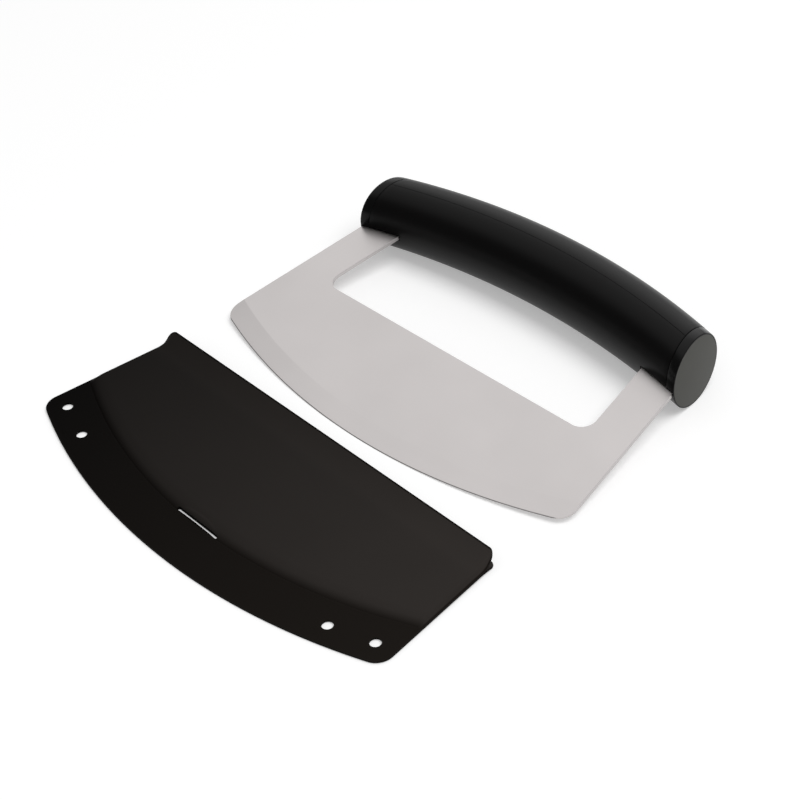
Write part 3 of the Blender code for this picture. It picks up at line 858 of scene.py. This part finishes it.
@dataclass(frozen=True)
class Handle(Arch):
    """The arched handle: two shells, an end cap on each end and the disc inlaid in its face."""

    blade: Blade = Blade()
    wall: float = 2.8 * MM
    facets: int = 128
    spans: int = 64
    parting_gap: float = 0.12 * MM
    barrel_edge: float = 0.25 * MM
    edge_turn: Point = (0.35, 0.1)
    cap_width: float = 4.8 * MM
    cap_wall: float = 1.4 * MM
    cap_front: float = 2.0 * MM
    cap_gap: float = 0.12 * MM
    cap_rim: float = 0.35 * MM
    disc_thickness: float = 0.5 * MM
    disc_inset: float = 0.5 * MM
    disc_gap: Point = (0.05 * MM, 0.06 * MM)
    disc_rim: float = 0.15 * MM
    disc_turn: float = 0.3
    slot_width: float = 2.1 * MM
    slot_over: float = 0.5 * MM
    slot_inner_gap: float = 0.15 * MM
    slot_outer_gap: float = 0.3 * MM
    slot_below: float = 3.0 * MM
    slot_above: float = 2.0 * MM
    notch_gap: float = 0.1 * MM
    notch_reach: float = 2.0 * MM
    notch_rise: float = 0.4 * MM

    def turned(self, name: str, profile: Sequence[Point], closed: bool = False) -> Object:
        """Sweep a profile, given as places along the handle and insets from its surface."""
        rings = [self.ring(x, inset) for x, inset in profile]
        return sweep(name, rings, self.facets, closed=closed)

    def tube(self, name: str) -> Object:
        """Sweep the wall of both shells: the barrel, a neck at each end and the bore.

        Args:
            name: Name of the piece.

        Returns:
            The tube.
        """
        end = self.half_length - self.cap_width
        neck = self.half_length - self.cap_front - 2 * self.cap_gap
        step = self.cap_wall + 2 * self.cap_gap
        edge = self.barrel_edge
        back, down = (share * edge for share in self.edge_turn)
        right = [(end - edge, 0.0), (end - back, down), (end, edge), (end, step), (neck, step),
                 (neck, self.wall)]
        left = Side.LEFT.place(right[::-1])
        barrel = [(x, 0.0) for x in spread(edge - end, end - edge, self.spans)[1:-1]]
        bore = [(x, self.wall) for x in spread(neck, -neck, self.spans // 2)[1:-1]]
        return self.turned(name, [*left, *barrel, *right, *bore], closed=True)

    def parting_wheel(self, offset: float) -> Object:
        """A wheel about the arch's centre, whose rim is the parting face."""
        centre = (0.0, self.arch_height - self.arch_radius, 0.0)
        return rod("parting wheel", centre, 2 * (self.arch_radius + offset),
                   3 * self.middle_radius, WHEEL_FACETS)

    def slot_plate(self, side: Side, outline: Sequence[Point]) -> Object:
        """A plate to cut with, as thick as the slots, which stand open above the blade."""
        half = self.slot_width / 2
        return plate("slot", side.place(outline), -half, half + self.slot_over)

    def shell(self, half: Half) -> Object:
        """Model the palm half, or the blade half with the slots that the arms pass through.

        Args:
            half: Which half.

        Returns:
            The shell.
        """
        shell = self.tube(f"{half.word}_shell")
        combine(shell, self.parting_wheel(half.value * self.parting_gap / 2),
                Cut.TAKE if half is Half.PALM else Cut.KEEP)
        for side in Side if half is Half.BLADE else ():
            combine(shell, self.slot_plate(side, self.arm_slot()), Cut.TAKE)
        round_edges(shell, width=0.12 * MM, above=50.0, smooth=25.0)
        return shell

    def arm_slot(self) -> list[Point]:
        """Draw the slot that the right arm passes through.

        Returns:
            The outline.
        """
        low = self.axis_height(self.half_length) - self.end_radius - self.slot_below
        high = self.axis_height(self.blade.inner(self.arch_height)) - self.middle_radius
        high += self.wall + self.slot_above
        inner = self.blade.inner(high) - self.slot_inner_gap
        outer = self.blade.side(low) + self.slot_outer_gap
        return [(inner, low), (outer, low), (outer, high), (inner, high)]

    def notch(self) -> list[Point]:
        """Draw the right cap's notch for the arm's shoulder.

        Returns:
            The outline.
        """
        (outer_x, outer_y), (inner_x, inner_y) = self.blade.shoulder()
        low = self.underside(self.half_length) - self.slot_below
        away, gap = inner_x - self.notch_reach, self.notch_gap
        return [(away, low), (self.blade.side(low) + gap, low), (outer_x + gap, outer_y + gap),
                (inner_x, inner_y + gap), (away, self.underside(away) + self.notch_rise)]

    def cap(self, side: Side) -> Object:
        """Model an end cap with its rounded rim, its recess and the notch for the arm.

        Args:
            side: The cap's side.

        Returns:
            The cap.
        """
        face, rim = self.half_length, self.cap_rim
        edge = face - self.cap_width + self.cap_gap
        profile = [(face - self.disc_thickness, self.disc_inset), (face, self.disc_inset),
                   *arc((face - rim, rim), rim, 0.0, -math.pi / 2, 6),
                   *arc((edge + rim, rim), rim, -math.pi / 2, -math.pi, 4),
                   (edge, self.cap_wall), (face - self.cap_front, self.cap_wall)]
        cap = self.turned(f"{side.word}_cap", side.place(profile))
        combine(cap, self.slot_plate(side, self.notch()), Cut.TAKE)
        shade(cap, angle=32.0)
        return cap

    def disc(self, side: Side) -> Object:
        """Model the disc in a cap's face, with a softened rim.

        Args:
            side: The cap's side.

        Returns:
            The disc.
        """
        face, rim = self.half_length, self.disc_rim
        under, around = self.disc_gap
        inset, turn = self.disc_inset + around, self.disc_turn * rim
        profile = [(face - self.disc_thickness + under, inset), (face - rim, inset),
                   (face - turn, inset + turn), (face, inset + rim)]
        disc = self.turned(f"{side.word}_disc", side.place(profile))
        shade(disc, angle=50.0)
        return disc

    def build(self) -> None:
        """Build and dress all pieces of the handle."""
        for half in Half:
            settle(self.shell(half), "knife", f"handle_{half.word}_shell", HANDLE_BLACK)
        for side in Side:
            settle(self.cap(side), "knife", f"{side.word}_end_cap", CAP_BLACK)
            settle(self.disc(side), "knife", f"{side.word}_end_disc", DISC_GREY)


# The guard
class Zone(Enum):
    """Zones of a leaf from the mouth to the rim."""

    LIP = "lip"
    POCKET = "pocket"
    SHOULDER = "shoulder"
    BAND = "band"


@dataclass(frozen=True)
class Guard:
    """The slip-on guard: a flat leaf and one pressed over it, closed along the sides and rim."""

    wall: float = 0.45 * MM
    mouth_half_width: float = 100.04 * MM
    lean: float = math.radians(6.65)
    depth: float = 85.8 * MM
    rim_radius: float = 281.0 * MM
    corner_radius: float = 7.6 * MM
    mouth_corner: float = 3.4 * MM
    pocket_depth: float = 66.0 * MM
    pocket_radius: float = 245.5 * MM
    shoulder: float = 7.5 * MM
    side_run: float = 2.5 * MM
    seam_end: float = 6.0 * MM
    floor_level: float = -0.15 * MM
    seam_gap: float = 0.06 * MM
    rise: float = 2.0 * MM
    flare_length: float = 9.5 * MM
    upper_flare: float = 3.5 * MM
    lower_flare: float = 1.1 * MM
    flare_power: float = 1.8
    slot_length: float = 25.2 * MM
    slot_width: float = 1.4 * MM
    slot_inset: float = 1.1 * MM
    relief_width: float = 3.4 * MM
    relief_height: float = 0.3 * MM
    relief_steepness: float = 4.0
    hole_diameter: float = 4.7 * MM
    hole_inset: float = 9.5 * MM
    hole_places: Point = (78.4 * MM, 97.7 * MM)
    pocket_columns: int = 200
    side_columns: int = 12
    trim_mouth: float = 0.16
    trim_side: float = 1.0 * MM
    trim_rim: float = 2.0 * MM
    tool_reach: float = 12.0 * MM
    least_slope: float = 0.4
    most_stretch: float = 2.0

    def rim(self, x: float) -> float:
        """The curved outer rim."""
        return self.rim_radius - self.depth - math.sqrt(self.rim_radius ** 2 - x ** 2)

    def pocket_end(self, x: float) -> float:
        """The line where the pocket ends and the flat band begins."""
        return (self.pocket_radius - self.pocket_depth
                - math.sqrt(self.pocket_radius ** 2 - x ** 2))

    def side(self, y: float) -> float:
        """Distance of the side edge from the middle."""
        return self.mouth_half_width - y * math.tan(self.lean)

    @property
    def slot_line(self) -> float:
        """Place of the drain slot's middle line, just above the foot of the shoulder."""
        return self.slot_inset - self.pocket_depth

    @staticmethod
    def ease(t: float) -> float:
        """A smooth rise from 0 to 1 while t goes from 0 to 1."""
        return (1 - math.cos(math.pi * min(max(t, 0.0), 1.0))) / 2

    def raised(self, x: float, y: float) -> float:
        """Share of the pocket's rise: 0 along the sides' seam, 1 in the pocket and mouth."""
        wall, mouth = (self.ease(way) for way in ((self.side(y) - abs(x)) / self.side_run,
                                                  1 + y / self.seam_end))
        return wall + mouth - wall * mouth

    def relief(self, x: float, y: float) -> float:
        """Height of the shallow half moon that is pressed up beside the drain slot."""
        out = math.hypot(2 * x / self.slot_length, (y - self.slot_line) / self.relief_width)
        return self.relief_height * self.ease(self.relief_steepness * (1 - out))

    def rows(self) -> list[tuple[Zone, float]]:
        """Rows of a leaf: each one's zone, and how far through it from the mouth's side."""
        spans = {Zone.LIP: 16, Zone.POCKET: 20, Zone.SHOULDER: 20, Zone.BAND: 8}
        return [(Zone.LIP, -self.trim_mouth), *[
            (zone, t) for zone, count in spans.items()
            for t in spread(0.0, 1.0, count)[zone is not Zone.LIP:]]]

    def columns(self) -> list[Point]:
        """Divide a leaf from side to side.

        Returns:
            Each column's share of the pocket's half width, and its distance out from there.
        """
        run = self.side_run
        sides = [*spread(0.0, run, self.side_columns)[1:], run + self.trim_side]
        return [*[(-1.0, -out) for out in reversed(sides)],
                *[(share, 0.0) for share in spread(-1.0, 1.0, self.pocket_columns)],
                *[(1.0, out) for out in sides]]

    def across(self, x: float, zone: Zone, t: float) -> Triple:
        """Follow a row at one place along the mouth.

        Args:
            x: Place along the mouth.
            zone: The row's zone.
            t: How far through the zone the row lies.

        Returns:
            The row's Y and its shares of the pocket's rise and of the lip's flare.
        """
        line = self.pocket_end(x)
        top = line + self.shoulder
        if zone is Zone.LIP:
            return -self.flare_length * t, 1.0, (1 - t) ** self.flare_power
        if zone is Zone.POCKET:
            return -self.flare_length + (top + self.flare_length) * t, 1.0, 0.0
        if zone is Zone.SHOULDER:
            return top - self.shoulder * t, 1.0 - t ** 2, 0.0
        return line + (self.rim(x) - self.trim_rim - line) * t, 0.0, 0.0

    def inner_face(self, column: Point, row: tuple[Zone, float], leaf: Leaf) -> Triple:
        """Find one point of a leaf's inner face.

        Args:
            column: One of the columns.
            row: One of the rows.
            leaf: Which leaf.

        Returns:
            The point in the guard's frame.
        """
        share, out = column
        y = -self.depth / 2
        for _ in range(3):
            x = share * (self.side(y) - self.side_run) + out
            y, pocket, lip = self.across(x, *row)
        if leaf is Leaf.LOWER:
            return x, y, self.floor_level - self.lower_flare * lip
        pressed = self.rise * pocket * self.raised(x, y)
        if pocket > 0.0:
            pressed += self.relief(x, y)
        return x, y, self.floor_level + self.seam_gap + pressed + self.upper_flare * lip

    def outline(self) -> list[Point]:
        """Draw both leaves: curved rim, leaning sides and a straight mouth.

        Returns:
            The outline.
        """
        bottom = rounded_bottom(-self.depth, self.rim_radius, self.mouth_half_width, self.lean,
                                self.corner_radius)
        y = -self.mouth_corner
        x = self.side(y) - self.mouth_corner / math.cos(self.lean)
        mouth = arc((x, y), self.mouth_corner, self.lean, math.pi / 2, 12)
        return mirrored(bottom + mouth)

    def slot(self) -> list[Point]:
        """Outline of the drain slot, with round ends."""
        radius = self.slot_width / 2
        return mirrored(arc((self.slot_length / 2 - radius, self.slot_line), radius,
                            -math.pi / 2, math.pi / 2, 10))

    def sheet(self, leaf: Leaf) -> Object:
        """Press a sheet to a leaf's form and give it its wall, a little more on slopes.

        Args:
            leaf: Which leaf.

        Returns:
            The untrimmed leaf.
        """
        rows, columns = self.rows(), self.columns()
        sheet = start(f"{leaf.word}_leaf", bpy.ops.mesh.primitive_grid_add,
                      x_subdivisions=len(columns) - 1, y_subdivisions=len(rows) - 1, size=1.0,
                      location=(0.0, 0.0, 0.0))
        for vertex in sheet.data.vertices:
            column = columns[round((0.5 + vertex.co.x) * (len(columns) - 1))]
            row = rows[round((0.5 - vertex.co.y) * (len(rows) - 1))]
            vertex.co = self.inner_face(column, row, leaf)
        wall = leaf.value * self.wall
        with editing(sheet):
            bpy.ops.mesh.extrude_region_move(TRANSFORM_OT_translate={"value": (0.0, 0.0, wall)})
            shape = bmesh.from_edit_mesh(sheet.data)
            shape.normal_update()
            for vertex in shape.verts:
                if vertex.select:
                    slope = max(abs(vertex.normal.z), self.least_slope)
                    vertex.co.z += wall * (min(1.0 / slope, self.most_stretch) - 1.0)
            bmesh.update_edit_mesh(sheet.data)
        return sheet

    def model(self, leaf: Leaf) -> Object:
        """Press, trim and punch one leaf.

        Args:
            leaf: Which leaf.

        Returns:
            The leaf.
        """
        piece, tall = self.sheet(leaf), self.tool_reach
        combine(piece, plate("trim", self.outline(), -tall, tall), Cut.KEEP)
        for place in self.hole_places:
            for x in (-place, place):
                centre = (x, self.rim(x) + self.hole_inset, 0.0)
                combine(piece, rod("punch", centre, self.hole_diameter, 2 * tall), Cut.TAKE)
        combine(piece, plate("slot", self.slot(), -tall, tall), Cut.TAKE)
        round_edges(piece, width=0.1 * MM, above=55.0, smooth=25.0)
        return piece

    def build(self) -> None:
        """Build and dress both leaves."""
        for leaf in Leaf:
            settle(self.model(leaf), "guard", f"guard_{leaf.word}_leaf", GUARD_BLACK)


# The studio
@dataclass(frozen=True)
class Studio:
    """A plain white table under soft light, and the camera."""

    floor_size: float = 6.0
    floor_colour: float = 0.8
    floor_roughness: float = 0.9
    floor_lift: float = 0.34
    dome: float = 0.42
    key_power: float = 44.0
    key_size: float = 1.8
    key_place: Triple = (1.1, 0.3, 2.6)
    dark_level: float = 0.12
    bright_side: Triple = (-0.3, 0.35, 0.89)
    bright_ramp: Point = (0.45, 0.8)
    bright_level: float = 1.0
    zenith_ramp: Point = (0.84, 0.95)
    zenith_level: float = 0.16
    panel_side: Triple = (-0.45, 0.8, 0.4)
    panel_ramp: Point = (0.85, 0.96)
    panel_level: float = 0.5
    lens: float = 87.914
    sensor: float = 36.0
    clip: Point = (0.01, 50.0)
    eye: Triple = (480.684 * MM, -401.238 * MM, 514.553 * MM)
    right: Triple = (0.692390, 0.718376, -0.067315)
    up: Triple = (-0.420395, 0.477485, 0.771542)

    def camera(self) -> None:
        """Set the camera to the photograph's viewpoint."""
        data = bpy.data.cameras.new("camera")
        data.lens, data.sensor_width = self.lens, self.sensor
        data.clip_start, data.clip_end = self.clip
        camera = bpy.data.objects.new("camera", data)
        bpy.context.scene.collection.objects.link(camera)
        right = Vector(self.right)
        back = right.cross(Vector(self.up)).normalized()
        turn = Matrix((right, back.cross(right), back)).transposed().to_quaternion()
        camera.matrix_world = Matrix.LocRotScale(Vector(self.eye), turn, Vector((1, 1, 1)))
        bpy.context.scene.camera = camera

    def floor(self) -> None:
        """Lay the table: a pale plane that keeps the object's shadow."""
        floor = start("floor", bpy.ops.mesh.primitive_plane_add, size=self.floor_size,
                      location=(0.0, 0.0, 0.0))
        material = bpy.data.materials.new("white table")
        material.use_nodes = True
        wire = Wiring(material.node_tree)
        lift = wire.maths("MULTIPLY", self.seen(wire, glossy=True), self.floor_lift)
        wire.fill(wire.tree.nodes["Principled BSDF"], {
            "Base Color": (*[self.floor_colour] * 3, 1.0), "Roughness": self.floor_roughness,
            "Specular IOR Level": 0.0, "Emission Color": WHITE, "Emission Strength": lift})
        floor.data.materials.append(material)

    @staticmethod
    def seen(wire: Wiring, glossy: bool) -> Socket:
        """Tell what the camera sees from what only lights the object.

        Args:
            wire: The nodes.
            glossy: True where reflections count as seen.

        Returns:
            1 for what is seen, directly or through glass, and otherwise 0.
        """
        path = wire.add("LightPath").outputs
        seen = wire.maths("MAXIMUM", path["Is Camera Ray"], path["Is Transmission Ray"])
        return wire.maths("MAXIMUM", seen, path["Is Glossy Ray"]) if glossy else seen

    def mirrored_room(self, wire: Wiring) -> Socket:
        """Shape how bright the room is in reflections.

        Args:
            wire: The world's nodes.

        Returns:
            A strength: white above, a brighter panel behind, and dim in front.
        """
        direction = wire.add("TexCoord").outputs["Generated"]
        levels = []
        for side, ramp, low, high in (
                (self.bright_side, self.bright_ramp, self.dark_level, self.bright_level),
                (self.panel_side, self.panel_ramp, 0.0, self.panel_level),
                (self.bright_side, self.zenith_ramp, 0.0, self.zenith_level)):
            towards = wire.add("VectorMath", {0: direction, 1: Vector(side).normalized()},
                               operation="DOT_PRODUCT").outputs["Value"]
            levels.append(wire.remap(towards, *ramp, low, high, smooth=True))
        return wire.maths("ADD", levels[0], wire.maths("ADD", *levels[1:]))

    def light(self) -> None:
        """Light the table with a white dome and one large soft lamp."""
        world = bpy.data.worlds.new("white room")
        bpy.context.scene.world = world
        world.use_nodes = True
        wire = Wiring(world.node_tree)
        reflected = wire.add("LightPath").outputs["Is Glossy Ray"]
        lit = wire.remap(reflected, 0.0, 1.0, self.dome, self.mirrored_room(wire))
        strength = wire.remap(self.seen(wire, glossy=False), 0.0, 1.0, lit, 1.0)
        wire.fill(wire.tree.nodes["Background"], {"Color": WHITE, "Strength": strength})
        data = bpy.data.lights.new("softbox", "AREA")
        data.energy, data.size = self.key_power, self.key_size
        lamp = bpy.data.objects.new("softbox", data)
        bpy.context.scene.collection.objects.link(lamp)
        lamp.location = self.key_place
        lamp.visible_glossy = False
        lamp.rotation_euler = Vector(self.key_place).to_track_quat("Z", "Y").to_euler()

    def build(self) -> None:
        """Set up the camera, the table, the light and plain colour output."""
        self.camera()
        self.floor()
        self.light()
        bpy.context.scene.view_settings.view_transform = "Standard"


def main() -> None:
    """Build the studio, the knife and the guard."""
    logging.basicConfig(level=logging.INFO, format="%(message)s")
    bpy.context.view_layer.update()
    for part in (Studio(), Blade(), Handle(), Guard()):
        part.build()


if __name__ == "__main__":
    main()
